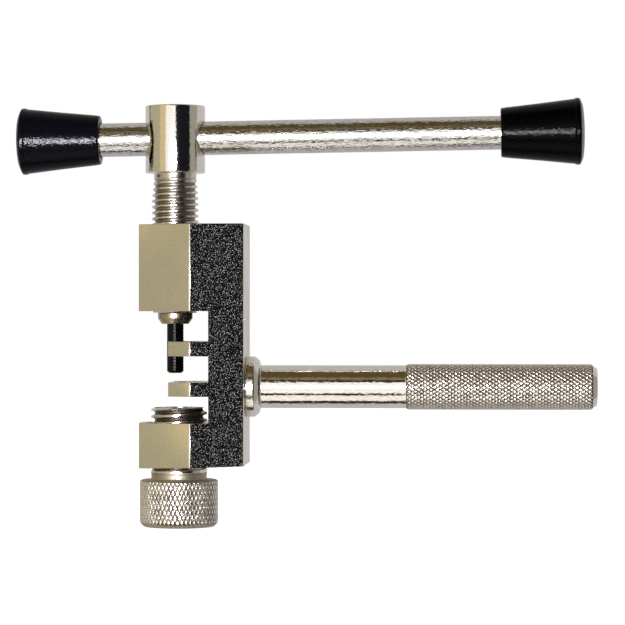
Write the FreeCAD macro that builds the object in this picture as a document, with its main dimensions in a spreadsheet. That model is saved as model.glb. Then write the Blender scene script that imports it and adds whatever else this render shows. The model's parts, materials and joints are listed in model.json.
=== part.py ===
import FreeCAD, Part
import os
import re
import Sketcher

# Bicycle chain tool: a C-shaped frame with two chain forks, a driver screw turned by a sliding T-bar,
# a knurled chain adjuster below, and a knurled handle screwed into the back of the frame.
# Millimetres. +X runs along the handle away from the frame, +Z up the driver axis, and the tool is
# symmetric about the XZ plane. The origin is on the driver axis, at the tip of the driver pin when
# the tool is at rest.

DIMENSIONS = {
    # frame, stacked downwards from its top face
    "frame_top": 31.6,
    "upper_block": 18.45,
    "upper_gap": 6.4,
    "upper_fork": 3.1,
    "fork_gap": 5.5,
    "lower_fork": 3.0,
    "lower_gap": 5.65,
    "lower_block": 9.5,
    "bottom_slope": 2.0,
    # frame, in plan: distances from the driver axis, and widths across it
    "nose_reach": 7.5,
    "side_start": 3.8,
    "fork_reach": 0.9,
    "spine_inner": 7.8,
    "spine_outer": 15.3,
    "frame_width": 18.0,
    "nose_width": 6.0,
    "roller_gap": 8.2,
    "roller_slot_end": 6.4,
    "side_edge_radius": 0.8,
    "back_edge_radius": 0.5,
    "nose_edge_radius": 0.3,
    "mouth_chamfer": 0.5,
    "thread_clearance": 0.04,
    # driver screw, M10 x 1.25, with its head's cross hole
    "driver_radius": 5.0,
    "driver_pitch": 1.25,
    "driver_groove": 0.75,
    "driver_end": 12.8,
    "driver_neck_radius": 4.5,
    "driver_thread_top": 41.5,
    "head_radius": 6.35,
    "head_bottom": 42.55,
    "head_top": 56.9,
    "head_chamfer": 0.4,
    "cross_hole_radius": 3.8,
    "cross_hole_height": 49.9,
    # driver pin, its holder and the disc that it thrusts on
    "pin_radius": 1.8,
    "pin_chamfer": 0.4,
    "pin_head_radius": 2.7,
    "pin_head_height": 1.5,
    "pin_play": 0.03,
    "holder_radius": 3.7,
    "holder_tip_radius": 2.9,
    "holder_height": 2.35,
    "holder_taper": 1.2,
    "holder_bore_radius": 1.85,
    "spigot_radius": 3.0,
    "spigot_length": 5.0,
    "disc_radius": 2.95,
    "disc_height": 1.45,
    # sliding T-bar and its end caps
    "bar_radius": 3.6,
    "bar_tilt": 0.9,
    "bar_left": 15.95,
    "bar_right": 69.25,
    "bar_chamfer": 0.5,
    "cap_length": 16.9,
    "cap_dome": 0.95,
    "cap_neck_radius": 5.25,
    "cap_end_radius": 7.1,
    "cap_bead": 1.2,
    "cap_bore": 13.5,
    # adjuster, M12 x 1.5, with its bush and knob
    "adjuster_offset": 0.8,
    "adjuster_radius": 6.0,
    "adjuster_pitch": 1.5,
    "adjuster_groove": 0.9,
    "adjuster_top": -7.3,
    "adjuster_thread_end": -21.5,
    "collar_radius": 5.9,
    "knob_top": -22.65,
    "knob_height": 10.05,
    "knob_radius": 8.35,
    "knob_top_chamfer": 0.4,
    "knob_bottom_chamfer": 0.9,
    "adjuster_bore_radius": 2.9,
    "adjuster_bore_depth": 12.0,
    "bush_radius": 4.3,
    "bush_height": 3.0,
    "bush_play": 0.05,
    # handle and the collar between it and the frame
    "handle_height": -2.9,
    "collar_disc_radius": 6.45,
    "collar_disc_height": 2.8,
    "collar_disc_chamfer": 0.3,
    "collar_disc_bevel": 0.9,
    "handle_spigot_radius": 4.0,
    "handle_spigot_length": 6.4,
    "shank_radius": 4.58,
    "shank_length": 31.2,
    "grip_radius": 4.85,
    "grip_length": 39.2,
    "grip_end_radius": 4.6,
    "grip_tip_radius": 3.9,
    "grip_tip_length": 1.1,
}
# Levels worked out from the driving dimensions above.
DERIVED = {
    "upper_block_bottom": "frame_top - upper_block",
    "upper_fork_top": "upper_block_bottom - upper_gap",
    "upper_fork_bottom": "upper_fork_top - upper_fork",
    "lower_fork_top": "upper_fork_bottom - fork_gap",
    "lower_fork_bottom": "lower_fork_top - lower_fork",
    "lower_block_top": "lower_fork_bottom - lower_gap",
    "frame_bottom": "lower_block_top - lower_block",
    "holder_bottom": "driver_end - holder_height",
    "holder_top": "driver_end + spigot_length",
    "pin_head_bottom": "holder_top + pin_play",
    "pin_head_top": "pin_head_bottom + pin_head_height",
    "disc_bottom": "pin_head_top + pin_play",
    "pocket_top": "disc_bottom + disc_height",
    "knob_bottom": "knob_top - knob_height",
    "bush_bottom": "adjuster_top - bush_height",
}
# How far cutting shapes run past the material they cut, and a thread's groove past its crest.
OVERCUT = 2.0
THREAD_OVERCUT = 0.05
# A thread groove's width at its root and at its mouth, as shares of the pitch.
ROOT_SHARE = 0.125
MOUTH_SHARE = 0.9
# The tolerance for finding an edge by its place.
NEAR = 0.02

doc = FreeCAD.newDocument("chain_tool")
sheet = doc.addObject("Spreadsheet::Sheet", "dims")
working_sheet = doc.addObject("Spreadsheet::Sheet", "working")


def fill_sheet():
    """Writes the driving dimensions as numbers and the derived levels as formulas, one per row."""
    row = 1
    for alias, value in DIMENSIONS.items():
        sheet.set(f"A{row}", alias)
        sheet.set(f"B{row}", str(value))
        sheet.setAlias(f"B{row}", alias)
        row += 1
    for alias, formula in DERIVED.items():
        sheet.set(f"A{row}", alias)
        sheet.set(f"B{row}", "=" + formula)
        sheet.setAlias(f"B{row}", alias)
        row += 1
    doc.recompute()


def bound(formula):
    """A formula in sheet aliases, as an expression that other objects can use."""
    def cell(word):
        name = word.group(0)
        return "dims." + name if name in DIMENSIONS or name in DERIVED else name
    return re.sub(r"[a-z_]+", cell, formula)


def value_of(formula):
    """The present value of such a formula, which places a sketch's points before they are tied."""
    working_sheet.set("A1", "=" + bound(formula))
    working_sheet.recompute()
    return float(working_sheet.get("A1"))


def origin_feature(body, role):
    return next(f for f in body.Origin.OriginFeatures if f.Role == role)


def new_sketch(body, name, role="XZ_Plane", lift=None):
    """A sketch on one of the body's origin planes, or lifted off it along its normal."""
    sketch = body.newObject("Sketcher::SketchObject", name)
    sketch.AttachmentSupport = [(origin_feature(body, role), "")]
    sketch.MapMode = "FlatFace"
    if lift is not None:
        sketch.setExpression("AttachmentOffset.Base.z", bound(lift))
    return sketch


def hold_point(sketch, edge, end, across, up):
    """Ties one point of a sketch to the sheet through its two coordinates."""
    for kind, formula in (("DistanceX", across), ("DistanceY", up)):
        constraint = Sketcher.Constraint(kind, -1, 1, edge, end, value_of(formula))
        index = sketch.addConstraint(constraint)
        sketch.setExpression(f"Constraints[{index}]", bound(formula))


def outline(body, name, corners, role="XZ_Plane"):
    """A closed outline of straight edges, whose corners are pairs of formulas."""
    sketch = new_sketch(body, name, role)
    spots = [FreeCAD.Vector(value_of(across), value_of(up), 0) for across, up in corners]
    count = len(spots)
    for i in range(count):
        sketch.addGeometry(Part.LineSegment(spots[i], spots[(i + 1) % count]), False)
    for i in range(count):
        sketch.addConstraint(Sketcher.Constraint("Coincident", i, 2, (i + 1) % count, 1))
    for i, (across, up) in enumerate(corners):
        hold_point(sketch, i, 1, across, up)
    doc.recompute()
    return sketch


def circle(body, name, across, up, radius, role, lift=None):
    sketch = new_sketch(body, name, role, lift)
    centre = FreeCAD.Vector(value_of(across), value_of(up), 0)
    sketch.addGeometry(Part.Circle(centre, FreeCAD.Vector(0, 0, 1), value_of(radius)), False)
    hold_point(sketch, 0, 3, across, up)
    index = sketch.addConstraint(Sketcher.Constraint("Radius", 0, value_of(radius)))
    sketch.setExpression(f"Constraints[{index}]", bound(radius))
    doc.recompute()
    return sketch


def about_axis(body, kind, name, corners, axis_at="0"):
    """A full revolution or groove of an XZ outline about a line up the body at axis_at across X."""
    feature = body.newObject("PartDesign::" + kind, name)
    sketch = outline(body, name + "_outline", corners)
    if axis_at == "0":
        feature.ReferenceAxis = (sketch, ["V_Axis"])
    else:
        foot = FreeCAD.Vector(value_of(axis_at), 0, 0)
        line = sketch.addGeometry(Part.LineSegment(foot, foot + FreeCAD.Vector(0, 1, 0)), True)
        hold_point(sketch, line, 1, axis_at, "0")
        hold_point(sketch, line, 2, axis_at, "1")
        feature.ReferenceAxis = (sketch, ["Axis0"])
    feature.Profile = sketch
    feature.Angle = 360
    doc.recompute()
    return feature


def turned(body, name, corners):
    return about_axis(body, "Revolution", name, corners)


def bored(body, name, corners, axis_at="0"):
    """A round hole or mouth about a vertical axis, whose radius may vary along it."""
    before = body.Shape.Volume
    groove = about_axis(body, "Groove", name, corners, axis_at)
    assert groove.Shape.Volume < before, name + " cut nothing"


def both_ways(body, kind, name, sketch, length):
    """A pad or pocket that runs the same way on both sides of its sketch."""
    feature = body.newObject("PartDesign::" + kind, name)
    feature.Profile = sketch
    feature.SideType = "Symmetric"
    feature.setExpression("Length", bound(length))
    doc.recompute()
    return feature


def pocketed(body, name, sketch, length):
    before = body.Shape.Volume
    pocket = both_ways(body, "Pocket", name, sketch, length)
    assert pocket.Shape.Volume < before, name + " cut nothing"


def rounded(body, name, radius, chosen):
    """Fillets the edges of the body's present shape for which chosen(edge) is true."""
    tip = body.Tip
    edges = [f"Edge{i}" for i, edge in enumerate(tip.Shape.Edges, 1) if chosen(edge)]
    assert edges, name + " found no edge"
    fillet = body.newObject("PartDesign::Fillet", name)
    fillet.Base = (tip, edges)
    fillet.setExpression("Radius", bound(radius))
    doc.recompute()


def threaded(body, name, radius, pitch, groove, bottom, top):
    """Cuts a right-hand 60-degree thread with a flat root an eighth of the pitch wide."""
    before = body.Shape.Volume
    root = f"{radius} - {groove}"
    proud = f"{radius} + {THREAD_OVERCUT}"
    sketch = outline(body, name + "_profile", [
        (root, f"{bottom} - {ROOT_SHARE / 2}*{pitch}"),
        (proud, f"{bottom} - {MOUTH_SHARE / 2}*{pitch}"),
        (proud, f"{bottom} + {MOUTH_SHARE / 2}*{pitch}"),
        (root, f"{bottom} + {ROOT_SHARE / 2}*{pitch}"),
    ])
    helix = body.newObject("PartDesign::SubtractiveHelix", name)
    helix.Profile = sketch
    helix.ReferenceAxis = (sketch, ["V_Axis"])
    helix.Mode = "pitch-height-angle"
    helix.setExpression("Pitch", bound(pitch))
    helix.setExpression("Height", bound(f"{top} - ({bottom})"))
    helix.LeftHanded = False
    doc.recompute()
    assert helix.Shape.Volume < before, name + " cut nothing"


def upright_at(x, y):
    """A test for the straight vertical edges at plan position x and, on either side, y."""
    def test(edge):
        box = edge.BoundBox
        straight = box.XLength < NEAR and box.YLength < NEAR and box.ZLength > 1
        return straight and abs(box.XMin - x) < NEAR and abs(abs(box.YMin) - y) < NEAR
    return test


def frame():
    """The C-shaped frame: two screw blocks and two forks on a spine, with a nose tapered in plan."""
    body = doc.addObject("PartDesign::Body", "frame")
    nose, tip, wall = "-nose_reach", "-fork_reach", "spine_inner"
    side = outline(body, "side_outline", [
        (nose, "frame_top"),
        ("spine_outer", "frame_top"),
        ("spine_outer", "frame_bottom + tan(bottom_slope)*spine_outer"),
        (nose, "frame_bottom - tan(bottom_slope)*nose_reach"),
        (nose, "lower_block_top"),
        (wall, "lower_block_top"),
        (wall, "lower_fork_bottom"),
        (tip, "lower_fork_bottom"),
        (tip, "lower_fork_top"),
        (wall, "lower_fork_top"),
        (wall, "upper_fork_bottom"),
        (tip, "upper_fork_bottom"),
        (tip, "upper_fork_top"),
        (wall, "upper_fork_top"),
        (wall, "upper_block_bottom"),
        (nose, "upper_block_bottom"),
    ])
    both_ways(body, "Pad", "side_pad", side, "frame_width")
    for name, sign in (("near_taper", "-"), ("far_taper", "")):
        wedge = outline(body, name + "_outline", [
            ("side_start", f"{sign}0.5*frame_width"),
            ("side_start", f"{sign}frame_width"),
            ("-2*nose_reach", f"{sign}frame_width"),
            ("-2*nose_reach", f"{sign}0.5*nose_width"),
            (nose, f"{sign}0.5*nose_width"),
        ], "XY_Plane")
        pocketed(body, name, wedge, "4*frame_top")
    rounded(body, "side_edges", "side_edge_radius",
            upright_at(value_of("side_start"), value_of("0.5*frame_width")))
    rounded(body, "back_edges", "back_edge_radius",
            upright_at(value_of("spine_outer"), value_of("0.5*frame_width")))
    rounded(body, "nose_edges", "nose_edge_radius",
            upright_at(value_of(nose), value_of("0.5*nose_width")))
    roller_slots(body)
    screw_bores(body)
    handle_socket(body)
    return body


def roller_slots(body):
    """The round-ended slots that leave each fork two tines, with room for a chain roller between."""
    slot = circle(body, "roller_slot_end_outline", "roller_slot_end - 0.5*roller_gap", "0",
                  "0.5*roller_gap", "XY_Plane", "0.5*(upper_fork_top + lower_fork_bottom)")
    pocketed(body, "roller_slot_end_cut", slot, "upper_fork_top - lower_fork_bottom")
    mouth = outline(body, "roller_slot_mouth_outline", [
        ("-nose_reach", "lower_fork_bottom"),
        ("roller_slot_end - 0.5*roller_gap", "lower_fork_bottom"),
        ("roller_slot_end - 0.5*roller_gap", "upper_fork_top"),
        ("-nose_reach", "upper_fork_top"),
    ])
    pocketed(body, "roller_slot_mouth", mouth, "roller_gap")


def screw_bores(body):
    """The upper block's bore on the driver axis and the lower block's, set back from it."""
    for name, axis_at, radius, low, high in (
        ("driver_bore", "0", "driver_radius", "upper_block_bottom", "frame_top"),
        ("adjuster_bore", "adjuster_offset", "adjuster_radius", "frame_bottom", "lower_block_top"),
    ):
        wall = f"{axis_at} + {radius} + thread_clearance"
        bored(body, name, [
            (axis_at, f"{low} - {OVERCUT}"),
            (wall, f"{low} - {OVERCUT}"),
            (wall, f"{high} - mouth_chamfer"),
            (f"{wall} + mouth_chamfer + {OVERCUT}", f"{high} + {OVERCUT}"),
            (axis_at, f"{high} + {OVERCUT}"),
        ], axis_at)


def handle_socket(body):
    """The blind hole in the spine's back face that takes the handle's spigot."""
    before = body.Shape.Volume
    mouth = circle(body, "handle_socket_outline", "0", "handle_height",
                   "handle_spigot_radius", "YZ_Plane", "spine_outer")
    pocket = body.newObject("PartDesign::Pocket", "handle_socket")
    pocket.Profile = mouth
    pocket.setExpression("Length", bound("handle_spigot_length"))
    doc.recompute()
    assert pocket.Shape.Volume < before, "the handle socket cut nothing"


def driver_screw():
    """The driver screw: M10 thread, plain neck and round head, bored for the pin and cross-drilled."""
    body = doc.addObject("PartDesign::Body", "driver_screw")
    turned(body, "blank", [
        ("0", "driver_end"),
        ("driver_radius - head_chamfer", "driver_end"),
        ("driver_radius", "driver_end + head_chamfer"),
        ("driver_radius", "driver_thread_top"),
        ("driver_neck_radius", "driver_thread_top + driver_radius - driver_neck_radius"),
        ("driver_neck_radius", "head_bottom"),
        ("head_radius", "head_bottom"),
        ("head_radius", "head_top - head_chamfer"),
        ("head_radius - head_chamfer", "head_top"),
        ("0", "head_top"),
    ])
    threaded(body, "driver_thread", "driver_radius", "driver_pitch", "driver_groove",
             "driver_end - driver_pitch", "driver_thread_top + 0.5*driver_pitch")
    bored(body, "pin_pocket", [
        ("0", f"driver_end - {OVERCUT}"),
        ("spigot_radius", f"driver_end - {OVERCUT}"),
        ("spigot_radius", "pocket_top"),
        ("0", "pocket_top"),
    ])
    hole = circle(body, "cross_hole_outline", "0", "cross_hole_height",
                  "cross_hole_radius", "YZ_Plane")
    pocketed(body, "cross_hole", hole, "4*head_radius")
    return body


def pin_holder():
    """The hollow nose cap that screws into the driver screw and keeps the pin's head inside it."""
    body = doc.addObject("PartDesign::Body", "pin_holder")
    turned(body, "cap", [
        ("holder_bore_radius", "holder_bottom"),
        ("holder_tip_radius", "holder_bottom"),
        ("holder_radius", "holder_bottom + holder_taper"),
        ("holder_radius", "driver_end"),
        ("spigot_radius", "driver_end"),
        ("spigot_radius", "holder_top"),
        ("holder_bore_radius", "holder_top"),
    ])
    return body


def driver_pin():
    """The headed hardened pin that pushes the chain rivet and doesn't turn with the screw."""
    body = doc.addObject("PartDesign::Body", "driver_pin")
    turned(body, "pin", [
        ("0", "0"),
        ("pin_radius - pin_chamfer", "0"),
        ("pin_radius", "pin_chamfer"),
        ("pin_radius", "pin_head_bottom"),
        ("pin_head_radius", "pin_head_bottom"),
        ("pin_head_radius", "pin_head_top"),
        ("0", "pin_head_top"),
    ])
    return body


def thrust_disc():
    """The hardened disc at the bottom of the screw's pocket that the pin's head bears on."""
    body = doc.addObject("PartDesign::Body", "thrust_disc")
    turned(body, "disc", [
        ("0", "disc_bottom"),
        ("disc_radius", "disc_bottom"),
        ("disc_radius", "pocket_top"),
        ("0", "pocket_top"),
    ])
    return body


def lay_along_bar(body):
    """Turns a body's own Z axis onto the T-bar, through the centre of the head's cross hole."""
    body.Placement.Rotation = FreeCAD.Rotation(FreeCAD.Vector(0, 1, 0), 90)
    body.setExpression("Placement.Rotation.Angle", bound("90 - bar_tilt"))
    body.setExpression("Placement.Base.z", bound("cross_hole_height"))


def t_bar():
    """The plain chamfered rod that slides through the head."""
    body = doc.addObject("PartDesign::Body", "t_bar")
    left, right = "-bar_left - cap_bore", "bar_right + cap_bore"
    turned(body, "rod", [
        ("0", left),
        ("bar_radius - bar_chamfer", left),
        ("bar_radius", f"{left} + bar_chamfer"),
        ("bar_radius", f"{right} - bar_chamfer"),
        ("bar_radius - bar_chamfer", right),
        ("0", right),
    ])
    lay_along_bar(body)
    return body


def end_cap(name, start, sign):
    """A tapered moulded cap pushed onto a bar end: narrow inboard, beaded and domed outboard."""
    body = doc.addObject("PartDesign::Body", name)
    rim = f"{start} {sign} cap_length"
    turned(body, "shell", [
        ("bar_radius", start),
        ("cap_neck_radius", start),
        ("cap_end_radius", f"{rim} {flipped(sign)} cap_bead"),
        ("cap_end_radius", rim),
        ("0.6*cap_end_radius", f"{rim} {sign} 0.8*cap_dome"),
        ("0", f"{rim} {sign} cap_dome"),
        ("0", f"{start} {sign} cap_bore"),
        ("bar_radius", f"{start} {sign} cap_bore"),
    ])
    lay_along_bar(body)
    return body


def flipped(sign):
    return "-" if sign == "+" else "+"


def adjuster_screw():
    """The M12 adjuster: knurled knob, plain collar and thread, hollow for the driven-out rivet."""
    body = doc.addObject("PartDesign::Body", "adjuster_screw")
    body.setExpression("Placement.Base.x", bound("adjuster_offset"))
    turned(body, "blank", [
        ("0", "knob_bottom"),
        ("knob_radius - knob_bottom_chamfer", "knob_bottom"),
        ("knob_radius", "knob_bottom + knob_bottom_chamfer"),
        ("knob_radius", "knob_top - knob_top_chamfer"),
        ("knob_radius - knob_top_chamfer", "knob_top"),
        ("collar_radius", "knob_top"),
        ("collar_radius", "adjuster_thread_end"),
        ("adjuster_radius", "adjuster_thread_end + adjuster_radius - collar_radius"),
        ("adjuster_radius", "adjuster_top - knob_top_chamfer"),
        ("adjuster_radius - knob_top_chamfer", "adjuster_top"),
        ("0", "adjuster_top"),
    ])
    threaded(body, "adjuster_thread", "adjuster_radius", "adjuster_pitch", "adjuster_groove",
             "adjuster_thread_end + adjuster_pitch", "adjuster_top + adjuster_pitch")
    bored(body, "bush_seat", [
        ("0", "adjuster_top - adjuster_bore_depth"),
        ("adjuster_bore_radius", "adjuster_top - adjuster_bore_depth"),
        ("adjuster_bore_radius", "bush_bottom"),
        ("bush_radius + bush_play", "bush_bottom"),
        ("bush_radius + bush_play", f"adjuster_top + {OVERCUT}"),
        ("0", f"adjuster_top + {OVERCUT}"),
    ])
    return body


def adjuster_bush():
    """The hardened ring in the adjuster's top that backs the chain and lets the rivet through."""
    body = doc.addObject("PartDesign::Body", "adjuster_bush")
    body.setExpression("Placement.Base.x", bound("adjuster_offset"))
    turned(body, "ring", [
        ("adjuster_bore_radius", "bush_bottom"),
        ("bush_radius", "bush_bottom"),
        ("bush_radius", "adjuster_top"),
        ("adjuster_bore_radius + bush_play", "adjuster_top"),
    ])
    return body


def lay_along_handle(body):
    """Turns a body's own Z axis onto the handle axis, starting at the frame's back face."""
    body.Placement.Rotation = FreeCAD.Rotation(FreeCAD.Vector(0, 1, 0), 90)
    body.setExpression("Placement.Base.x", bound("spine_outer"))
    body.setExpression("Placement.Base.z", bound("handle_height"))


def handle():
    """The handle, turned from one bar: spigot, smooth shank, knurled grip and chamfered end."""
    body = doc.addObject("PartDesign::Body", "handle")
    shank_start = "collar_disc_height"
    grip_start = f"{shank_start} + shank_length"
    grip_end = f"{grip_start} + grip_length"
    turned(body, "bar", [
        ("0", "-handle_spigot_length"),
        ("handle_spigot_radius", "-handle_spigot_length"),
        ("handle_spigot_radius", shank_start),
        ("shank_radius", shank_start),
        ("shank_radius", grip_start),
        ("grip_radius", f"{grip_start} + grip_radius - shank_radius"),
        ("grip_radius", f"{grip_end} - grip_radius + grip_end_radius"),
        ("grip_end_radius", grip_end),
        ("grip_tip_radius", f"{grip_end} + grip_tip_length"),
        ("0", f"{grip_end} + grip_tip_length"),
    ])
    lay_along_handle(body)
    return body


def handle_collar():
    """The round collar clamped between the handle's shoulder and the frame's back face."""
    body = doc.addObject("PartDesign::Body", "handle_collar")
    turned(body, "collar", [
        ("handle_spigot_radius", "0"),
        ("collar_disc_radius - collar_disc_chamfer", "0"),
        ("collar_disc_radius", "collar_disc_chamfer"),
        ("collar_disc_radius", "collar_disc_height - collar_disc_bevel"),
        ("collar_disc_radius - collar_disc_bevel", "collar_disc_height"),
        ("handle_spigot_radius", "collar_disc_height"),
    ])
    lay_along_handle(body)
    return body


def check_document():
    """Stops if any object failed to compute."""
    doc.recompute()
    failed = [o.Name for o in doc.Objects if "Invalid" in o.State or "Error" in o.State]
    assert not failed, f"failed objects: {failed}"


def write_parts(bodies):
    """Checks each sub-part's solid and writes it to a file named by its label."""
    for body in bodies:
        assert not body.Shape.isNull() and body.Shape.isValid(), body.Label + " is not valid"
        assert len(body.Shape.Solids) == 1, body.Label + " is not one solid"
    os.makedirs("parts", exist_ok=True)
    for body in bodies:
        body.Shape.exportStep(f"parts/{body.Label}.step")


fill_sheet()
sub_parts = [
    frame(),
    driver_screw(),
    pin_holder(),
    driver_pin(),
    thrust_disc(),
    t_bar(),
    end_cap("left_end_cap", "-bar_left", "-"),
    end_cap("right_end_cap", "bar_right", "+"),
    adjuster_screw(),
    adjuster_bush(),
    handle(),
    handle_collar(),
]
check_document()
write_parts(sub_parts)
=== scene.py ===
import json
import math

import bmesh
import bpy
import numpy as np
from mathutils import Matrix, Vector


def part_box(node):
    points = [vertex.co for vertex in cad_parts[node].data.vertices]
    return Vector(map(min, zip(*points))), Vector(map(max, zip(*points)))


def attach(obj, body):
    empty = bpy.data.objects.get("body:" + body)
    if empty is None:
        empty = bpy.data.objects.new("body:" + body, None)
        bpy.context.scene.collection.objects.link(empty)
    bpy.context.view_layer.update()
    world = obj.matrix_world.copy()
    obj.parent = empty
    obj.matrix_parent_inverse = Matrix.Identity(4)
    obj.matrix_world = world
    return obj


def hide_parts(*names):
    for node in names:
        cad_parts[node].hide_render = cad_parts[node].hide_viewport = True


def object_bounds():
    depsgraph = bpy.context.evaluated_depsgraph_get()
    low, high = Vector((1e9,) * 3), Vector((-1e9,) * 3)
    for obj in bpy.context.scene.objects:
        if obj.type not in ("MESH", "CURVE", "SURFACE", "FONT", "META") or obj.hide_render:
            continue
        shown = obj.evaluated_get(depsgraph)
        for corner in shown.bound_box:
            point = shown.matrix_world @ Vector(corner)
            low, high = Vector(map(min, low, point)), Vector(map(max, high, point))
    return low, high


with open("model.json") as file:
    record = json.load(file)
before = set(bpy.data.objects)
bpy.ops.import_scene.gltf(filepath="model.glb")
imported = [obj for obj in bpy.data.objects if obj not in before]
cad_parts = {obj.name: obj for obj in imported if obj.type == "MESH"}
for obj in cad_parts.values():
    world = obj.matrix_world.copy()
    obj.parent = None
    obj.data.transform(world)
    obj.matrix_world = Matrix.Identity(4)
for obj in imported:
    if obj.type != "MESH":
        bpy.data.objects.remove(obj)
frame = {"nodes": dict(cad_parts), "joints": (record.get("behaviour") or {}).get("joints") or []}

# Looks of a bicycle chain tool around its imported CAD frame. Lengths are in metres; MM turns
# millimetres into them. +X runs along the handle, +Z up the driver screw, and -Y faces the camera.
MM = 0.001
TAU = 2 * math.pi
CAD_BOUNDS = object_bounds()
AROUND = 128  # sides of a plain turned surface
SKIN = 0.01 * MM  # how far a rebuilt surface stays inside the CAD solid that it stands for

# ---------------------------------------------------------------- sizes that the CAD boxes don't give

FRAME_NOSE_LENGTH = 11.6 * MM  # from the nose's tip to where the black coat starts
DRIVER_HEAD_HEIGHT = 14.35 * MM
DRIVER_NECK = 1.05 * MM  # the plain part under the head
DRIVER_CREST = 5.0 * MM  # a thread's crest is given as a radius
DRIVER_PITCH = 1.25 * MM
POCKET_DEPTH = 8.01 * MM  # in the screw's lower end, for the disc and the pin's head
CROSS_HOLE = 3.8 * MM  # radius of the T-bar's hole
CROSS_HOLE_RISE = 7.35 * MM  # from the head's underside to the middle of the hole
BAR_RADIUS = 3.6 * MM
CAP_DOME = 0.95 * MM
ADJUSTER_CREST = 6.0 * MM
ADJUSTER_PITCH = 1.5 * MM
KNOB_HEIGHT = 10.05 * MM
SHANK_RADIUS = 4.58 * MM
SHANK_LENGTH = 31.2 * MM

# ---------------------------------------------------------------- looks

BRIGHT_NICKEL = (0.80, 0.765, 0.70)
WARM_NICKEL = (0.76, 0.715, 0.63)
PINK_NICKEL = (0.76, 0.71, 0.66)
KNURL_NICKEL = (0.83, 0.775, 0.71)
DARK_NICKEL = (0.46, 0.41, 0.32)
GREY_NICKEL = (0.69, 0.675, 0.64)
# Painted shade, partly oily grime, that darkens the roots of threads and knurls.
GROOVE_SHADE_AND_GRIME = (0.04, 0.03, 0.022)

# Reflected surroundings, as (angle from which a band starts, colour): around Z and around X.
AROUND_BANDS = [
    (-180, (0.66, 0.65, 0.65)), (-116, (0.10, 0.09, 0.07)), (-108, (0.53, 0.49, 0.34)),
    (-56, (0.80, 0.66, 0.38)), (-32, (1.25, 1.23, 1.19)), (7, (0.012, 0.012, 0.015)),
    (64, (0.41, 0.39, 0.34)), (100, (0.66, 0.65, 0.65)),
]
OVER_BANDS = [
    (-180, (0.62, 0.6, 0.64)), (-100, (0.04, 0.035, 0.03)), (-80, (1.25, 1.22, 1.15)),
    (-46, (0.04, 0.035, 0.03)), (-34, (1.35, 1.33, 1.28)), (24, (0.05, 0.04, 0.03)),
    (38, (0.28, 0.22, 0.12)), (52, (0.12, 0.088, 0.04)), (92, (0.62, 0.6, 0.58)),
]

CAMERA_YAW = 3.0  # degrees
CAMERA_DISTANCE = 618 * MM
CAMERA_VIEW = 133.25 * MM
CAMERA_SHIFT = 29.25 * MM
CAMERA_HEIGHT = 12.88 * MM


# ---------------------------------------------------------------- mesh tools

def rounded_profile(points, radius, steps=4):
    """The (radius, height) points of a profile, with every inner corner turned into a small arc."""
    out = [points[0]]
    for before, corner, after in zip(points, points[1:], points[2:]):
        a, b, c = Vector(before), Vector(corner), Vector(after)
        reach_in, reach_out = (a - b), (c - b)
        cut = min(radius, 0.45 * reach_in.length, 0.45 * reach_out.length)
        start, end = b + reach_in.normalized() * cut, b + reach_out.normalized() * cut
        for i in range(steps + 1):
            t = i / steps
            out.append(tuple(start * (1 - t) ** 2 + b * 2 * t * (1 - t) + end * t ** 2))
    out.append(points[-1])
    return out


def filled_profile(points, step, low, high):
    """Adds points no further apart than step where the profile's height is between low and high."""
    out = [points[0]]
    for (r0, z0), (r1, z1) in zip(points, points[1:]):
        inside = low - step <= min(z0, z1) and max(z0, z1) <= high + step
        count = max(1, math.ceil(math.hypot(r1 - r0, z1 - z0) / step)) if inside else 1
        out += [(r0 + (r1 - r0) * i / count, z0 + (z1 - z0) * i / count) for i in range(1, count + 1)]
    return out


def turned(name, profile, around=AROUND, relief=None, sharp=40):
    """A mesh object revolved about Z from (radius, height) points, lowest first on the outside.
    relief(angle, radius, height) gives how far the surface is cut in, as arrays."""
    profile = [p for i, p in enumerate(profile) if i == 0 or math.dist(p, profile[i - 1]) > 1e-8]
    radius, height = (np.array(c)[:, None] for c in zip(*profile))
    angle = np.arange(around)[None, :] * TAU / around
    depth = relief(angle, radius, height) if relief else 0.0
    reach = np.maximum(radius - depth, 0.0) + 0 * angle
    grid = np.stack([reach * np.cos(angle), reach * np.sin(angle), height + 0 * angle], axis=-1)
    rows = len(profile)
    verts = grid.reshape(-1, 3)
    row, col = np.meshgrid(np.arange(rows - 1), np.arange(around), indexing="ij")
    here, beside = row * around + col, row * around + (col + 1) % around
    faces = np.stack([here, beside, beside + around, here + around], axis=-1).reshape(-1, 4)
    mesh = bpy.data.meshes.new(name)
    mesh.from_pydata(verts.tolist(), [], faces.tolist())
    ob = bpy.data.objects.new(name, mesh)
    bpy.context.scene.collection.objects.link(ob)
    tidy_mesh(ob, sharp)
    return ob


def tidy_mesh(ob, sharp=40):
    """Merges doubled points, turns faces outwards and smooths all but the sharp edges."""
    bm = bmesh.new()
    bm.from_mesh(ob.data)
    bmesh.ops.remove_doubles(bm, verts=bm.verts, dist=1e-7)
    bmesh.ops.dissolve_degenerate(bm, edges=bm.edges, dist=1e-7)
    bmesh.ops.recalc_face_normals(bm, faces=bm.faces)
    for face in bm.faces:
        face.smooth = True
    bm.to_mesh(ob.data)
    bm.free()
    ob.data.set_sharp_from_angle(angle=math.radians(sharp))


def lay_along(ob, start, direction):
    """Moves a mesh made about Z so that its origin is at start and its Z axis along direction."""
    turn = Vector(direction).to_track_quat("Z", "Y").to_matrix().to_4x4()
    ob.data.transform(Matrix.Translation(start) @ turn)


def applied(ob, name, kind, **settings):
    """Adds a modifier to an object and bakes it into the mesh."""
    modifier = ob.modifiers.new(name, kind)
    for key, setting in settings.items():
        setattr(modifier, key, setting)
    graph = bpy.context.evaluated_depsgraph_get()
    mesh = bpy.data.meshes.new_from_object(ob.evaluated_get(graph))
    ob.modifiers.clear()
    ob.data = mesh


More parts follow.
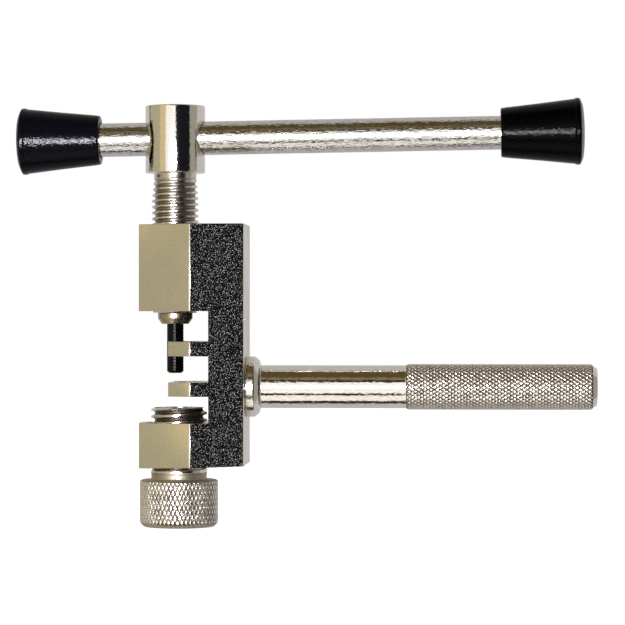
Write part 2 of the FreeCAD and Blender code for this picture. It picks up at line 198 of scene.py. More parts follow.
def finish_piece(ob, body, node, slot, *materials):
    """Gives a piece its materials and its body, and hides the CAD node that it stands for. slot is not used.
    """
    for material in materials:
        ob.data.materials.append(material)
    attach(ob, body)
    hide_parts(node)
    return ob


def size_of(node):
    """A CAD node's lowest corner, highest corner and size."""
    low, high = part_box(node)
    return low, high, high - low


# ---------------------------------------------------------------- materials

class Nodes:
    """A node tree with short ways to add nodes to it."""

    def __init__(self, tree):
        self.tree = tree

    def node(self, kind, **settings):
        made = self.tree.nodes.new(kind)
        for key, setting in settings.items():
            setattr(made, key, setting)
        return made

    def feed(self, value, socket):
        """Links an output to an input, or sets the input to a plain value."""
        if isinstance(value, bpy.types.NodeSocket):
            self.tree.links.new(value, socket)
        else:
            socket.default_value = value

    def span(self, value, low, high, out_low=0.0, out_high=1.0):
        """A value moved from one range to another, held at the ends."""
        made = self.node("ShaderNodeMapRange", clamp=True)
        for socket, number in zip(range(5), (value, low, high, out_low, out_high)):
            self.feed(number, made.inputs[socket])
        return made.outputs[0]

    def math(self, operation, a, b=0.0):
        made = self.node("ShaderNodeMath", operation=operation)
        self.feed(a, made.inputs[0])
        self.feed(b, made.inputs[1])
        return made.outputs[0]

    def blend(self, share, first, second):
        """A colour between first and second."""
        made = self.node("ShaderNodeMix", data_type="RGBA")
        self.feed(share, made.inputs["Factor"])
        for colour, socket in ((first, made.inputs[6]), (second, made.inputs[7])):
            self.feed(colour if isinstance(colour, bpy.types.NodeSocket) else (*colour, 1), socket)
        return made.outputs[2]

    def ramp(self, value, stops):
        """A colour from a ramp of (place, colour) stops, with place in 0 to 1."""
        made = self.node("ShaderNodeValToRGB")
        points = made.color_ramp.elements
        for i, (place, colour) in enumerate(stops):
            point = points[i] if i < 2 else points.new(place)
            point.position, point.color = place, (*colour, 1)
        self.feed(value, made.inputs[0])
        return made.outputs[0]


class Shader(Nodes):
    """A material's node tree and its Principled shader."""

    def __init__(self, name):
        self.material = bpy.data.materials.new(name)
        self.material.use_nodes = True
        super().__init__(self.material.node_tree)
        self.surface = next(n for n in self.tree.nodes if n.type == "BSDF_PRINCIPLED")
        self.place = self.node("ShaderNodeTexCoord").outputs["Object"]

    def noise(self, scale, detail=3.0, roughness=0.55, stretch=(1, 1, 1)):
        """Soft noise from 0 to 1, with scale waves to a metre."""
        mapping = self.node("ShaderNodeMapping")
        self.feed(self.place, mapping.inputs["Vector"])
        mapping.inputs["Scale"].default_value = stretch
        texture = self.node("ShaderNodeTexNoise")
        self.feed(mapping.outputs[0], texture.inputs["Vector"])
        texture.inputs["Scale"].default_value = scale
        texture.inputs["Detail"].default_value = detail
        texture.inputs["Roughness"].default_value = roughness
        return texture.outputs["Fac"]

    def cells(self, scale):
        """How far a point is from the middle of its cell in cell widths, with scale cells to a metre."""
        texture = self.node("ShaderNodeTexVoronoi")
        self.feed(self.place, texture.inputs["Vector"])
        texture.inputs["Scale"].default_value = scale
        return texture.outputs["Distance"]

    def bump(self, height, distance, strength=1.0, under=None):
        """A normal bumped by a height that rises distance metres, on top of the normal under it."""
        made = self.node("ShaderNodeBump")
        self.feed(height, made.inputs["Height"])
        made.inputs["Distance"].default_value = distance
        made.inputs["Strength"].default_value = strength
        if under is not None:
            self.feed(under, made.inputs["Normal"])
        return made.outputs[0]

    def distance_from(self, axis, centre):
        """How far a point is from a line along one of the axes, through centre."""
        parts = self.node("ShaderNodeSeparateXYZ")
        self.feed(self.place, parts.inputs[0])
        squares = []
        for name, middle in zip("XYZ", centre):
            if name != axis:
                off = self.math("SUBTRACT", parts.outputs[name], middle)
                squares.append(self.math("MULTIPLY", off, off))
        return self.math("SQRT", self.math("ADD", *squares))

    def finish(self, colour, rough, metal=0.0, normal=None, **others):
        """Feeds the shader and returns the material. others name further inputs of the shader."""
        inputs = self.surface.inputs
        self.feed(colour if isinstance(colour, bpy.types.NodeSocket) else (*colour, 1), inputs["Base Color"])
        self.feed(rough, inputs["Roughness"])
        self.feed(metal, inputs["Metallic"])
        if normal is not None:
            self.feed(normal, inputs["Normal"])
        for key, value in others.items():
            self.feed(value, inputs[key.replace("_", " ")])
        return self.material


def nickel(name, colour, rough, pits=0.0, grain=(1, 1, 1), mottle=0.0, ripple=0.0, grit=0,
           fleck=1500, grooves=None):
    """Nickel plate: faint warm clouds, fine streaks, a rippled skin, small pits and painted shade, partly
    grime, in the grooves.

    grain stretches the streaks, ripple is the skin's height in metres, grit is the number of its
    waves to a metre (0 for a softer skin), fleck is the number of stains to a metre, and grooves is
    (axis, a point on the axis, radius at which the painted groove shade is darkest, radius at which it
    ends).
    """
    s = Shader(name)
    clouds = s.noise(160, 4)
    fine = s.noise(2600, 3, 0.6, grain)
    blotch = s.noise(fleck, 5, 0.75, grain)
    clouded, streaked = (tuple(c * k for c in colour) for k in (0.93, 0.84))
    stained = tuple(c * k for c, k in zip(colour, (0.42, 0.38, 0.33)))
    tone = s.blend(s.span(clouds, 0.3, 0.7), colour, clouded)
    tone = s.blend(s.span(fine, 0.38, 0.62, 0.0, 0.6), tone, streaked)
    tone = s.blend(s.span(blotch, 0.5, 0.68, 0.0, mottle), tone, stained)
    roughness = s.math("ADD", s.span(fine, 0.3, 0.7, rough * 0.75, rough * 1.25),
                       s.span(blotch, 0.5, 0.75, 0.0, 0.25 * mottle))
    normal = s.bump(fine, 0.003 * MM, 0.6)
    if ripple:
        skin = s.noise(grit, 1, 0.5, grain) if grit else s.noise(1250, 3, 0.6, grain)
        normal = s.bump(skin, ripple, 1.0, normal)
    if pits:
        hole = s.span(s.cells(420), 0.0, 0.16)
        normal = s.bump(hole, 0.02 * MM, pits, normal)
    # Painted shade, partly grime: darker and rougher towards the grooves' roots, by distance from the axis.
    if grooves:
        axis, centre, darkest, unshaded = grooves
        shade_and_grime = s.span(s.distance_from(axis, centre), darkest, unshaded, 0.95, 0.0)
        tone = s.blend(shade_and_grime, tone, GROOVE_SHADE_AND_GRIME)
        roughness = s.math("ADD", roughness, s.math("MULTIPLY", shade_and_grime, 0.3))
    return s.finish(tone, roughness, 1.0, normal)


def sand_coat():
    """The coarse black coat on the frame's sides: raised grains whose tips are painted pale, a painted
    highlight where they would catch the light.
    """
    s = Shader("sand_coat")
    grain = s.span(s.cells(3600), 0.38, 0.2)
    clump = s.noise(5200, 2, 0.6)
    height = s.math("ADD", s.math("MULTIPLY", grain, 0.8), s.math("MULTIPLY", clump, 0.4))
    # Painted highlight: the grain tips are painted pale where they would catch the light.
    tip_highlight = s.math("MULTIPLY", grain, s.span(clump, 0.42, 0.64, 0.06, 1.0))
    tone = s.blend(tip_highlight, (0.003, 0.003, 0.0031), (0.62, 0.61, 0.585))
    rough = s.span(clump, 0.35, 0.65, 0.9, 0.7)
    return s.finish(tone, rough, 0.0, s.bump(height, 0.05 * MM), Specular_IOR_Level=0.03)


def black_oxide():
    """Oiled black oxide on turned steel, with fine turning rings."""
    s = Shader("black_oxide")
    rings = s.noise(900, 2, 0.5, (0.05, 0.05, 1))
    patch = s.noise(500, 4)
    tone = s.blend(s.span(patch, 0.35, 0.7), (0.0008, 0.0008, 0.001), (0.002, 0.002, 0.0022))
    return s.finish(tone, s.span(patch, 0.3, 0.7, 0.06, 0.12), 0.0, s.bump(rings, 0.01 * MM),
                    Specular_IOR_Level=0.15)


def cap_plastic():
    """Glossy black moulded plastic with a faint orange-peel skin and small scuffs."""
    s = Shader("cap_plastic")
    peel = s.noise(700, 3, 0.5)
    scuff = s.noise(1500, 5, 0.7)
    tone = s.blend(s.span(scuff, 0.6, 0.8), (0.0004, 0.0004, 0.0006), (0.0015, 0.0015, 0.002))
    rough = s.math("ADD", s.span(peel, 0.3, 0.7, 0.06, 0.12), s.span(scuff, 0.6, 0.75, 0.0, 0.2))
    skin = s.bump(s.noise(2400, 1, 0.5), 0.06 * MM, 1.0, s.bump(peel, 0.03 * MM, 0.7))
    return s.finish(tone, rough, 0.0, skin, Specular_IOR_Level=0.05)


def sheen_painted_plastic():
    """The same plastic painted a greyer satin: a painted sheen standing in for the grazing reflection on the
    right cap's domed end.
    """
    s = Shader("sheen_painted_plastic")
    scuff = s.noise(1500, 5, 0.7)
    # Painted sheen: grey tones standing in for the grazing reflection on the domed end.
    tone = s.blend(s.span(scuff, 0.4, 0.65), (0.05, 0.045, 0.045), (0.16, 0.145, 0.145))
    return s.finish(tone, s.span(scuff, 0.3, 0.7, 0.2, 0.35), 0.0, s.bump(scuff, 0.01 * MM))


def hardened_steel():
    """Bare hardened steel with fine grinding streaks."""
    s = Shader("hardened_steel")
    grind = s.noise(1800, 3, 0.6, (1, 1, 0.1))
    tone = s.blend(s.span(grind, 0.35, 0.65), (0.45, 0.45, 0.46), (0.3, 0.3, 0.31))
    return s.finish(tone, s.span(grind, 0.3, 0.7, 0.2, 0.38), 1.0, s.bump(grind, 0.006 * MM))


# ---------------------------------------------------------------- reliefs

def thread_relief(pitch, depth, start, low, high, fade_low, fade_high):
    """The cut of a right-hand thread between two heights, fading over given lengths at its ends."""
    flank_start, flank_end = 0.13, 0.37  # parts of a pitch from the middle of the groove

    def relief(angle, radius, height):
        phase = (height - start) / pitch - angle / TAU
        off = np.abs(phase - np.round(phase))
        cut = np.clip((flank_end - off) / (flank_end - flank_start), 0, 1)
        into = np.clip((height - low) / fade_low, 0, 1)
        out = np.clip((high - height) / fade_high, 0, 1)
        return depth * cut * into * out

    return relief


def knurl_relief(around_count, radius_over, depth, slant, low, high, fade):
    """Two crossing sets of grooves that leave diamonds. slant is each groove's angle from Z."""
    lean = math.tan(slant) * around_count / (TAU * radius_over)
    flat = 0.6  # part of the way from a diamond's middle to a groove's that stays uncut
    worn = 0.15  # how much the grooves' depth wanders

    def relief(angle, radius, height):
        turns, shift = angle * around_count / TAU, (height - low) * lean
        rise = [1 - 2 * np.abs(turn - np.round(turn)) for turn in (turns + shift, turns - shift)]
        groove = np.clip((np.maximum(rise[0], rise[1]) - flat) / (1 - flat), 0, 1)
        wear = np.sin(5 * angle + height / (0.83 * MM)) * np.sin(height / (1.31 * MM) - 7 * angle)
        groove *= 1 - worn + worn * wear
        into = np.clip((height - low) / fade, 0, 1)
        out = np.clip((high - height) / fade, 0, 1)
        return depth * groove * into * out

    return relief


# ---------------------------------------------------------------- pieces

def frame_body():
    """The C-shaped body: the CAD solid with softened edges, nickel all over but for the coated sides."""
    low, high, _ = size_of("frame")
    ob = bpy.data.objects.new("frame_body", frame["nodes"]["frame"].data.copy())
    bpy.context.scene.collection.objects.link(ob)
    ob.data.materials.clear()
    bm = bmesh.new()
    bm.from_mesh(ob.data)
    bmesh.ops.remove_doubles(bm, verts=bm.verts, dist=1e-6)
    bmesh.ops.dissolve_limit(bm, angle_limit=math.radians(1), verts=bm.verts, edges=bm.edges)
    bm.to_mesh(ob.data)
    bm.free()
    applied(ob, "soft_edges", "BEVEL", width=0.22 * MM, segments=3, limit_method="ANGLE",
            angle_limit=math.radians(24), harden_normals=True, use_clamp_overlap=True)
    coated_from = low.x + FRAME_NOSE_LENGTH
    wall_from = coated_from - 2 * MM
    edge_band = 0.25 * MM  # a broad side's faces lie within this of the box
    for face in ob.data.polygons:
        face.use_smooth = True
        broad_side = abs(face.normal.y) > 0.7 and abs(face.center.y) > high.y - edge_band
        coated_side = broad_side and face.center.x > coated_from
        coated_wall = face.normal.x < -0.9 and face.center.x > wall_from
        face.material_index = 1 if coated_side or coated_wall else 0
    plate = nickel("frame_nickel", WARM_NICKEL, 0.22, pits=0.8, mottle=0.3, fleck=2600)
    return finish_piece(ob, "frame", "frame", "frame_nickel_and_black", plate, sand_coat())


def driver_screw():
    """Head with its cross hole, plain neck and M10 thread that starts with a shallow run-in."""
    low, high, size = size_of("driver_screw")
    head, head_bottom = size.x / 2 - SKIN, high.z - DRIVER_HEAD_HEIGHT
    thread_top = head_bottom - DRIVER_NECK
    neck_bottom = thread_top + 0.5 * MM
    crest, neck, pocket = DRIVER_CREST - SKIN, DRIVER_CREST - 0.5 * MM, 3.0 * MM
    root = crest - 0.74 * MM
    full_thread = thread_top - 4 * DRIVER_PITCH
    chamfer = 0.4 * MM
    outline = rounded_profile([
        (pocket, low.z), (crest - chamfer, low.z), (crest, low.z + chamfer), (crest, full_thread),
        (neck, neck_bottom), (neck, head_bottom), (head, head_bottom), (head, high.z), (0, high.z),
    ], 0.35 * MM, 5)
    outline = filled_profile(outline, DRIVER_PITCH / 16, low.z, neck_bottom + 0.1 * MM)
    inside = [(0, low.z + POCKET_DEPTH), (pocket, low.z + POCKET_DEPTH)]
    thread = thread_relief(DRIVER_PITCH, 1.0, low.z, low.z + 0.05 * MM, neck_bottom,
                           0.3 * MM, 1.2 * DRIVER_PITCH)

    def relief(angle, radius, height):
        room = np.where(radius < crest + 0.1 * MM, np.clip(radius - root, 0, 1), 0)
        return room * thread(angle, radius, height)

    ob = turned("driver_screw_body", inside + outline, 160, relief, sharp=60)
    centre = Vector((0, 0, head_bottom + CROSS_HOLE_RISE))
    bore_cross_hole(ob, centre, head)
    plain = nickel("driver_nickel", BRIGHT_NICKEL, 0.07, mottle=0.1, ripple=0.02 * MM, grit=2000)
    threaded = nickel("driver_thread_nickel", PINK_NICKEL, 0.16, mottle=0.35, ripple=0.04 * MM,
                      grooves=("Z", (0, 0, 0), root - 0.1 * MM, root + 0.3 * MM))
    for face in ob.data.polygons:
        face.material_index = 1 if face.center.z < head_bottom - 0.05 * MM else 0
    return finish_piece(ob, "driver", "driver_screw", "bright_nickel", plain, threaded)


def bore_cross_hole(ob, centre, head):
    """Cuts the T-bar's hole through the head and softens its two mouths."""
    reach = head * 1.5
    bore = turned("bore_tool", [(0, -reach), (CROSS_HOLE, -reach), (CROSS_HOLE, reach), (0, reach)], 96)
    lay_along(bore, centre, (1, 0, 0))
    applied(ob, "cross_hole", "BOOLEAN", operation="DIFFERENCE", solver="EXACT", object=bore)
    bpy.data.objects.remove(bore)
    soften_mouth(ob, centre, head)


def soften_mouth(ob, centre, head):
    """Bevels the edge where the cross hole breaks out through the head."""
    bm = bmesh.new()
    bm.from_mesh(ob.data)
    near = []
    for edge in bm.edges:
        ends = [vert.co for vert in edge.verts]
        middle = (ends[0] + ends[1]) / 2 - centre
        on_hole = all(abs(math.hypot(p.y, p.z - centre.z) - CROSS_HOLE) < 0.02 * MM for p in ends)
        on_head = all(abs(math.hypot(p.x, p.y) - head) < 0.05 * MM for p in ends)
        if on_hole and on_head and abs(middle.x) > head * 0.5:
            near.append(edge)
    bmesh.ops.bevel(bm, geom=near, offset=0.25 * MM, segments=3, profile=0.5, affect="EDGES",
                    clamp_overlap=True)
    bm.to_mesh(ob.data)
    bm.free()
    tidy_mesh(ob, 50)


def pin_holder():
    """The hollow nose cap: a short rim over a taper, with the pin's hole down the middle."""
    low, _, size = size_of("pin_holder")
    rim, tip, bore = size.x / 2 - SKIN, 2.9 * MM, 1.85 * MM
    taper, shoulder = low.z + 1.2 * MM, low.z + 2.35 * MM
    profile = rounded_profile([
        (bore, shoulder), (bore, low.z), (tip, low.z), (rim, taper), (rim, shoulder), (bore, shoulder),
    ], 0.12 * MM)
    ob = turned("pin_holder_cap", profile)
    plate = nickel("holder_nickel", DARK_NICKEL, 0.26, mottle=0.8, ripple=0.04 * MM)
    return finish_piece(ob, "driver", "pin_holder", "bright_nickel", plate)


def driver_pin():
    """The headed pin, with faint turning rings along its shank."""
    low, high, size = size_of("driver_pin")
    shank, head, head_base = 1.8 * MM - SKIN, size.x / 2 - SKIN, high.z - 1.5 * MM
    chamfer = 0.4 * MM
    profile = rounded_profile([
        (0, low.z), (shank - chamfer, low.z), (shank, low.z + chamfer), (shank, head_base),
        (head, head_base), (head, high.z), (0, high.z),
    ], 0.15 * MM)
    profile = filled_profile(profile, 0.08 * MM, low.z, head_base)
    ring_spacing, ring_depth = 0.64 * MM, 0.02 * MM

    def rings(angle, radius, height):
        return ring_depth * (1 + np.sin(TAU * height / ring_spacing)) * (radius > 0)

    ob = turned("driver_pin_body", profile, 64, rings)
    return finish_piece(ob, "driver_pin", "driver_pin", "black_oxide", black_oxide())


def bar_line():
    """A point on the T-bar's axis above the origin, and the axis's direction, from its joint."""
    slide = next(j for j in frame["joints"] if j["name"] == "t_bar_slide")
    head_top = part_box("driver_screw")[1].z
    centre = Vector((0, 0, head_top - DRIVER_HEAD_HEIGHT + CROSS_HOLE_RISE))
    return centre, Vector(slide["axis"]).normalized()


def reach_along(node, centre, axis):
    """Where a node starts and ends along the bar, from its box's two ends."""
    low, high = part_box(node)
    return (low.x - centre.x) / axis.x, (high.x - centre.x) / axis.x


def t_bar():
    """The plain rod, with slow shallow dents along it and rounded ends inside the caps."""
    centre, axis = bar_line()
    start, end = reach_along("t_bar", centre, axis)
    start, end = start + 0.1 * MM, end - 0.1 * MM
    radius = BAR_RADIUS - SKIN
    profile = rounded_profile([(0, start), (radius, start), (radius, end), (0, end)], 0.5 * MM)
    profile = filled_profile(profile, 0.8 * MM, start, end)
    dent = 0.012 * MM

    def dents(angle, reach, height):
        wave = np.sin(height / (3.1 * MM) + 2 * angle) * np.sin(height / (7.3 * MM) - angle)
        return dent * (1 + wave)

    ob = turned("t_bar_rod", profile, AROUND, dents)
    lay_along(ob, centre, axis)
    satin = nickel("bar_nickel", GREY_NICKEL, 0.11, grain=(0.3, 1, 1), mottle=1.0, ripple=0.07 * MM,
                   grit=2700, fleck=3400)
    return finish_piece(ob, "t_bar", "t_bar", "satin_nickel", satin)


def end_cap(name, node, outward, *plastics):
    """A tapered cap: lipped neck, straight flare, a bead, a shallow dome and the bar's blind socket.

    outward is 1 for the cap at the bar's far end and -1 for the other, and heights run outwards.
    A second plastic is for the domed end.
    """
    centre, axis = bar_line()
    (start, end), (bar_start, bar_end) = (reach_along(n, centre, axis) for n in (node, "t_bar"))
    inner, outer = (start, end) if outward > 0 else (-end, -start)
    socket_floor = bar_end if outward > 0 else -bar_start
    rim, neck, bore = 7.1 * MM - SKIN, 5.25 * MM - SKIN, BAR_RADIUS + 0.05 * MM
    inner += 0.1 * MM
    inset = 0.11 * MM  # how far the domed end stays inside the CAD cap
    tip, skirt = outer - inset, outer - CAP_DOME - inset

    def flare(along):
        return neck + (rim - 0.15 * MM - neck) * along

    lip = [(bore, inner + 0.6 * MM), (BAR_RADIUS + 0.25 * MM, inner), (neck - 0.05 * MM, inner),
           (neck + 0.05 * MM, inner + 0.7 * MM)]
    side = [(flare(0.06), inner + 1.0 * MM), (flare(0.5), (inner + skirt) / 2),
            (flare(0.98), skirt - 1.15 * MM)]
    bead = [(rim, skirt - 0.9 * MM), (rim, skirt - 0.1 * MM), (rim * 0.95, skirt + 0.12 * MM)]
    dome = [(rim * math.cos(t), skirt + (tip - skirt) * math.sin(t))
            for t in (math.radians(a) for a in range(35, 91, 5))]
    dome[-1] = (0, tip)
    profile = [(0, socket_floor), (bore, socket_floor)] + rounded_profile(lip + side + bead, 0.35 * MM, 5)
    profile += [p for p in dome if p[0] < rim * 0.9]
    ob = turned(name, profile, AROUND, sharp=60)
    for face in ob.data.polygons:
        face.material_index = len(plastics) - 1 if face.center.z > skirt + 0.14 * MM else 0
    lay_along(ob, centre, axis * outward)
    return finish_piece(ob, "t_bar", node, "black_cap", *plastics)


def adjuster_screw():
    """Knurled knob, plain collar and coarse thread, turned as one piece and bored at the top."""
    low, high, size = size_of("adjuster_screw")
    centre = Vector(((low.x + high.x) / 2, (low.y + high.y) / 2, 0))
    knob, collar, seat, bore = size.x / 2 - SKIN, 5.9 * MM, 4.35 * MM, 2.9 * MM
    crest = ADJUSTER_CREST - SKIN
    knob_top = low.z + KNOB_HEIGHT
    thread_end = knob_top + 1.15 * MM
    chamfer, seat_floor = 0.9 * MM, high.z - 3.0 * MM
    outline = rounded_profile([
        (0, low.z), (knob - chamfer, low.z), (knob, low.z + chamfer), (knob, knob_top - 0.35 * MM),
        (knob - 0.4 * MM, knob_top), (collar, knob_top), (collar, thread_end),
        (crest, thread_end + 0.1 * MM), (crest, high.z - 0.4 * MM), (crest - 0.5 * MM, high.z),
        (seat, high.z), (seat, seat_floor),
    ], 0.3 * MM, 4)
    outline = filled_profile(outline, 0.1 * MM, low.z, knob_top)
    outline = filled_profile(outline, ADJUSTER_PITCH / 12, thread_end, high.z)
    outline += [(bore, seat_floor), (bore, high.z - 12 * MM), (0, high.z - 12 * MM)]
    thread = thread_relief(ADJUSTER_PITCH, 0.85 * MM, high.z + 1.0 * MM, thread_end + 0.6 * MM,
                           high.z + ADJUSTER_PITCH, 1.2 * MM, 0.1 * MM)
    knurl = knurl_relief(54, knob, 0.26 * MM, math.radians(25), low.z + 0.2 * MM,
                         knob_top - 0.1 * MM, 0.5 * MM)

    def relief(angle, radius, height):
        on_thread = (height > thread_end) & (radius > crest - 0.6 * MM)
        on_knob = (height < knob_top + 1e-9) & (radius > collar + 0.6 * MM)
        return np.where(on_thread, thread(angle, radius, height), 0) + np.where(
            on_knob, knurl(angle, radius, height), 0)

    ob = turned("adjuster_screw_body", outline, 600, relief, sharp=55)
    ob.data.transform(Matrix.Translation(centre))
    for face in ob.data.polygons:
        middle = face.center
        off_axis = math.hypot(middle.x - centre.x, middle.y - centre.y)
        in_knurl = low.z + 0.75 * MM < middle.z < knob_top - 0.2 * MM and off_axis > knob - 0.7 * MM
        below_thread = middle.z < thread_end + 0.4 * MM
        face.material_index = 2 if in_knurl else 1 if below_thread else 0
    return finish_piece(ob, "adjuster", "adjuster_screw", "knurled_nickel",
                        *adjuster_plating(centre, crest, knob))


def adjuster_plating(centre, crest, knob):
    """The adjuster's three finishes: on its thread, its collar and its knurled knob."""
    threaded = nickel("adjuster_nickel", PINK_NICKEL, 0.16, mottle=0.3, ripple=0.04 * MM,
                      grooves=("Z", centre, crest - 0.85 * MM, crest - 0.5 * MM))
    satin = nickel("adjuster_collar_nickel", DARK_NICKEL, 0.5, mottle=0.2, ripple=0.01 * MM)
    knurled = nickel("knob_nickel", KNURL_NICKEL, 0.22, mottle=0.6, ripple=0.08 * MM, grit=2000,
                     grooves=("Z", centre, knob - 0.19 * MM, knob - 0.05 * MM))
    return threaded, satin, knurled


def handle_start():
    """The centre of the frame's back face on the handle's axis, and where the handle ends."""
    low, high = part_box("handle")
    return Vector((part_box("handle_collar")[0].x, (low.y + high.y) / 2, (low.z + high.z) / 2)), high.x


def handle():
    """The turned bar: a spigot inside the collar, a smooth shank and a knurled grip."""
    start, end_x = handle_start()
    size = size_of("handle")[2]
    shank_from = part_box("handle_collar")[1].x - start.x
    grip_from, end = shank_from + SHANK_LENGTH, end_x - start.x
    grip, shank, spigot = size.z / 2 - SKIN, SHANK_RADIUS - SKIN, 3.9 * MM
    grip_to = end - 1.1 * MM
    profile = rounded_profile([
        (0, 0.4 * MM), (spigot, 0.4 * MM), (spigot, shank_from + 0.02 * MM),
        (shank - 0.25 * MM, shank_from + 0.02 * MM), (shank, shank_from + 0.35 * MM),
        (shank, grip_from), (grip, grip_from + 0.35 * MM), (grip, grip_to - 0.2 * MM),
        (grip - 0.2 * MM, grip_to), (spigot, end - 0.02 * MM), (0, end - 0.02 * MM),
    ], 0.2 * MM, 4)
    profile = filled_profile(profile, 0.11 * MM, grip_from, grip_to)
    knurl = knurl_relief(32, grip, 0.25 * MM, math.radians(36), grip_from + 0.1 * MM,
                         grip_to + 0.05 * MM, 0.2 * MM)

    def relief(angle, radius, height):
        return np.where(radius > shank, knurl(angle, radius, height), 0)

    ob = turned("handle_bar", profile, 288, relief, sharp=55)
    plain = nickel("handle_nickel", BRIGHT_NICKEL, 0.055, grain=(0.5, 1, 1), mottle=0.2,
                   ripple=0.03 * MM, grit=2000)
    knurled = nickel("handle_knurl_nickel", KNURL_NICKEL, 0.22, mottle=0.6, ripple=0.08 * MM, grit=2000,
                     grooves=("X", start, grip - 0.18 * MM, grip - 0.05 * MM))
    for face in ob.data.polygons:
        face.material_index = 1 if grip_from < face.center.z < grip_to + 0.1 * MM else 0
    lay_along(ob, start, (1, 0, 0))
    return finish_piece(ob, "frame", "handle", "knurled_nickel", plain, knurled)


def handle_collar():
    """The round collar between the frame's back and the handle's shank, with a bevelled front."""
    start, _ = handle_start()
    size = size_of("handle_collar")[2]
    rim, lip, bore = size.z / 2 - SKIN, 5.2 * MM, 4.0 * MM
    front, recess = size.x - SKIN, size.x - 0.25 * MM
    profile = rounded_profile([
        (bore, 0.0), (rim - 0.1 * MM, 0.0), (rim, 0.15 * MM), (rim, size.x - 1.0 * MM),
        (rim - 0.9 * MM, front), (lip, front), (lip - 0.3 * MM, recess), (bore, recess), (bore, 0.0),
    ], 0.25 * MM)
    ob = turned("handle_collar_ring", profile)
    lay_along(ob, start, (1, 0, 0))
    plate = nickel("collar_nickel", BRIGHT_NICKEL, 0.14, mottle=0.25, ripple=0.04 * MM)
    return finish_piece(ob, "frame", "handle_collar", "bright_nickel", plate)


def plain_nodes():
    """The two small hardened pieces keep their CAD shape and get their own steel."""
    steel = hardened_steel()
    for name in ("thrust_disc", "adjuster_bush"):
        mesh = frame["nodes"][name].data
        mesh.materials.clear()
        mesh.materials.append(steel)


# ---------------------------------------------------------------- studio

def soft_stops(bands, softness):
    """Ramp stops over -180 to 180 degrees for bands of (start, colour), softened where they meet."""
    stops = []
    for i, (start, colour) in enumerate(bands):
        last = i + 1 == len(bands)
        end = 180 if last else bands[i + 1][0] - softness
        for place in (start + softness if i else start, end):
            stops.append(((place + 180) / 360, colour))
    return stops


def studio_world():
    """Surroundings seen only in reflections: white, dark and warm bands of cards around the tool.

    Directions to the left and right take their colour from the angle around the Z axis, and those
    above and below from the angle around the X axis. Both angles are 0 towards the camera's side.
    """
    softness = 2.0  # degrees on either side of a border over which two bands blend
    over_starts, over_alone = 0.58, 0.78  # shares of up or down against sideways
    world = bpy.data.worlds.new("studio")
    bpy.context.scene.world = world
    world.use_nodes = True
    world.node_tree.nodes.clear()
    s = Nodes(world.node_tree)
    parts = s.node("ShaderNodeSeparateXYZ")
    s.feed(s.node("ShaderNodeTexCoord").outputs["Generated"], parts.inputs[0])
    sideways, away, up = parts.outputs
    toward = s.math("MULTIPLY", away, -1.0)
    bands = [s.ramp(s.span(s.math("ARCTAN2", turned_to, toward), -math.pi, math.pi),
                    soft_stops(colours, softness))
             for turned_to, colours in ((sideways, AROUND_BANDS), (up, OVER_BANDS))]
    rise = s.math("ABSOLUTE", up)
    spread = s.math("ADD", s.math("ABSOLUTE", sideways), s.math("ADD", rise, 1e-4))
    share = s.span(s.math("DIVIDE", rise, spread), over_starts, over_alone)
    reflected, backdrop = s.node("ShaderNodeBackground"), s.node("ShaderNodeBackground")
    s.feed(s.blend(share, *bands), reflected.inputs["Color"])
    s.feed((1, 1, 1, 1), backdrop.inputs["Color"])
    choose = s.node("ShaderNodeMixShader")
    seen = s.node("ShaderNodeLightPath").outputs["Is Camera Ray"]
    for output, socket in zip((seen, reflected.outputs[0], backdrop.outputs[0]), choose.inputs):
        s.feed(output, socket)
    s.feed(choose.outputs[0], s.node("ShaderNodeOutputWorld").inputs[0])


def softbox(name, azimuth, elevation, distance, width, height, power, target, colour):
    """A rectangular light aimed at the target, placed by angles from the side that faces the camera."""
    data = bpy.data.lights.new(name, "AREA")
    data.shape, data.size, data.size_y = "RECTANGLE", width, height
    data.energy, data.color = power, colour
    ob = bpy.data.objects.new(name, data)
    bpy.context.scene.collection.objects.link(ob)
    a, e = math.radians(azimuth), math.radians(elevation)
    away = Vector((math.sin(a) * math.cos(e), -math.cos(a) * math.cos(e), math.sin(e)))
    ob.location = target + away * distance
    ob.rotation_euler = away.to_track_quat("Z", "Y").to_euler()
    return ob


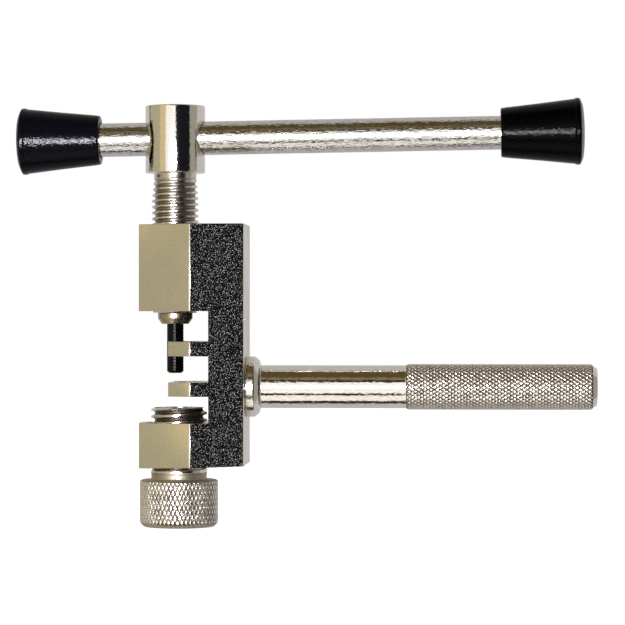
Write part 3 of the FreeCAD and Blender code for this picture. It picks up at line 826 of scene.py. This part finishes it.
def floor():
    """A pale floor under the tool that glows a little, so that it stays near white."""
    low, high = (Vector(v) for v in CAD_BOUNDS)
    reach = 6 * (high - low).length
    bm = bmesh.new()
    bmesh.ops.create_grid(bm, x_segments=8, y_segments=8, size=reach)
    mesh = bpy.data.meshes.new("floor")
    bm.to_mesh(mesh)
    bm.free()
    ob = bpy.data.objects.new("floor", mesh)
    bpy.context.scene.collection.objects.link(ob)
    ob.location = ((low.x + high.x) / 2, 0, low.z)
    s = Shader("floor_white")
    grain = s.noise(40, 2)
    s.finish(s.blend(grain, (0.9, 0.9, 0.9), (0.94, 0.94, 0.94)), 0.9, 0.0,
             Emission_Color=(1, 1, 1, 1), Emission_Strength=0.75)
    mesh.materials.append(s.material)
    ob.visible_glossy = False


def camera():
    """A long lens, level with the upper fork, a little towards the handle's end of square-on."""
    yaw = math.radians(CAMERA_YAW)
    right = Vector((math.cos(yaw), math.sin(yaw), 0))
    back = Vector((math.sin(yaw), -math.cos(yaw), 0))
    aim = right * CAMERA_SHIFT + Vector((0, 0, CAMERA_HEIGHT))
    data = bpy.data.cameras.new("camera")
    data.sensor_width = 36.0
    data.lens = 36.0 * CAMERA_DISTANCE / CAMERA_VIEW
    data.clip_start, data.clip_end = 0.05, 20.0
    ob = bpy.data.objects.new("camera", data)
    bpy.context.scene.collection.objects.link(ob)
    ob.location = aim + back * CAMERA_DISTANCE
    ob.rotation_euler = (math.radians(90), 0, yaw)
    bpy.context.scene.camera = ob


# ---------------------------------------------------------------- the tool and its studio

def build_tool():
    """Makes every piece of the tool and returns the left cap, which gets a light of its own."""
    plastic = cap_plastic()
    frame_body()
    driver_screw()
    pin_holder()
    driver_pin()
    t_bar()
    left_cap = end_cap("left_end_cap_shell", "left_end_cap", -1, plastic)
    # The right cap's domed end gets the plastic painted with a grey sheen.
    end_cap("right_end_cap_shell", "right_end_cap", 1, plastic, sheen_painted_plastic())
    adjuster_screw()
    handle()
    handle_collar()
    plain_nodes()
    return left_cap


def build_studio(left_cap):
    """Floor, surroundings, a key light, a brighter one that only the left cap catches, and the camera."""
    floor()
    studio_world()
    spot = dict(azimuth=-5, elevation=-1.5, distance=0.8, width=0.36, target=Vector((20 * MM, 0, 10 * MM)))
    softbox("key", **spot, height=0.12, power=9, colour=(0.93, 0.93, 1.0))
    glint = softbox("glint", **spot, height=0.17, power=105, colour=(0.86, 0.88, 1.0))
    receivers = bpy.data.collections.new("glint_receivers")
    receivers.objects.link(left_cap)
    glint.light_linking.receiver_collection = receivers
    camera()
    bpy.context.scene.view_settings.view_transform = "Standard"


build_studio(build_tool())
